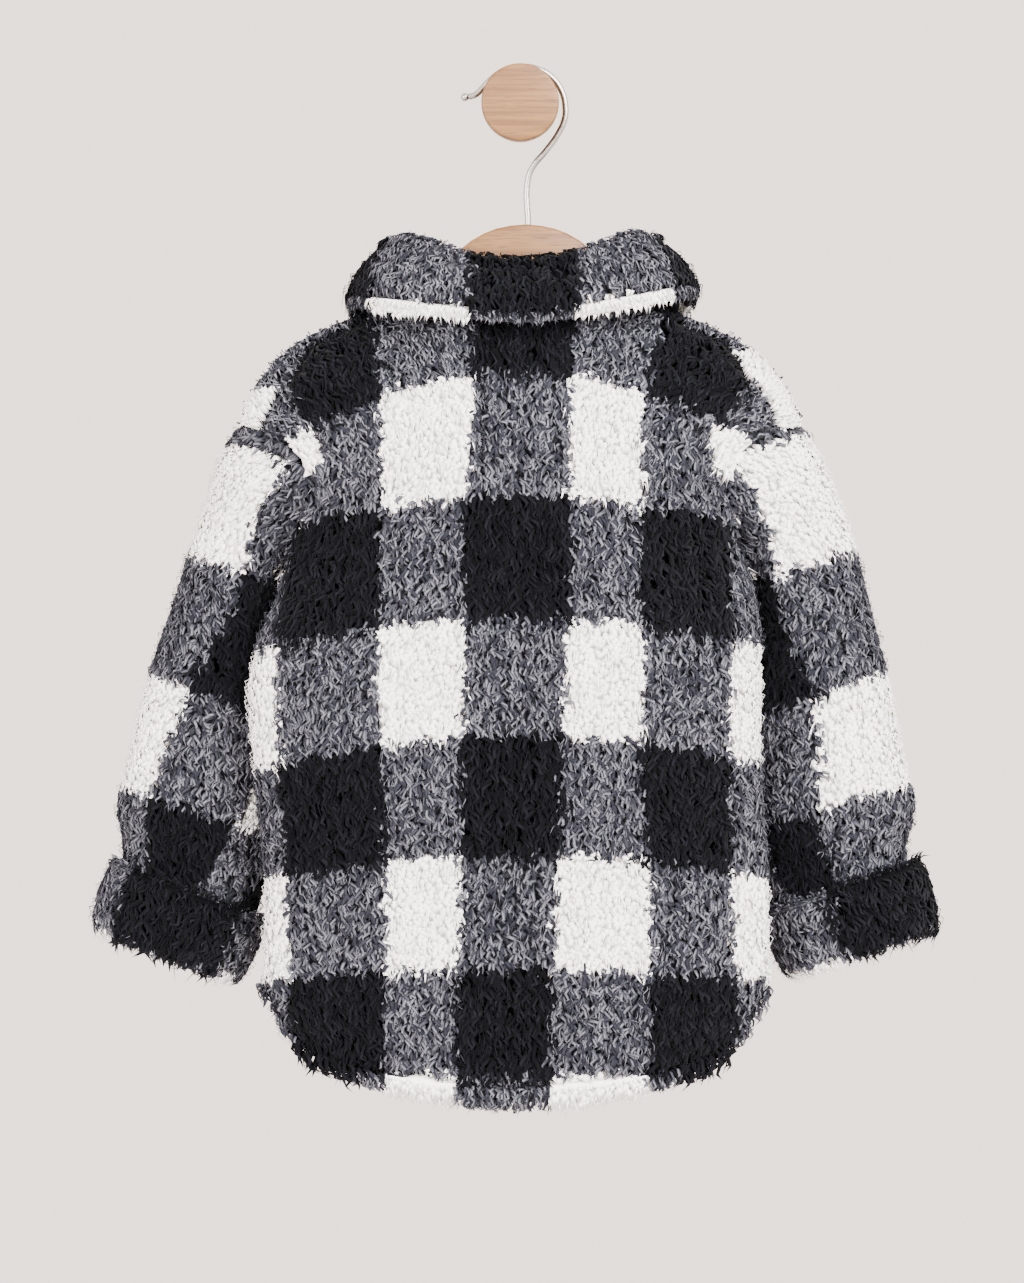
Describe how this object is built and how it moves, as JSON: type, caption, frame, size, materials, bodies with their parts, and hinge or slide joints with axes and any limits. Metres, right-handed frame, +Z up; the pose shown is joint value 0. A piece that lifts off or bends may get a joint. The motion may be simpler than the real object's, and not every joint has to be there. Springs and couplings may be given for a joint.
{
  "type": "fleece jacket on a hanger and wall peg",
  "caption": "Small child's checked pile fleece jacket with a turned-down collar and turned-back cuffs, on a wooden hanger that hangs on a round wall peg.",
  "frame": {"origin": "centre of the peg's back face, on the wall", "axes": "+X to the right in the view of the jacket's back, +Y into the wall, +Z up"},
  "size_m": [0.469, 0.1243, 0.5777],
  "materials": {
    "fleece": "curly pile in a black and white check",
    "button": "satin",
    "hanger_wood": "satin",
    "wire": "satin",
    "peg_wood": "satin"
  },
  "bodies": {
    "root": {"back": "fleece", "front_left": "fleece", "front_right": "fleece", "placket": "fleece", "sleeve_left": "fleece", "cuff_left": "fleece", "sleeve_right": "fleece", "cuff_right": "fleece", "collar": "fleece", "button_1": "button", "button_2": "button", "button_3": "button", "button_4": "button", "button_5": "button", "hanger_body": "hanger_wood", "hanger_hook": "wire", "peg": "peg_wood"}
  },
  "joints": []
}
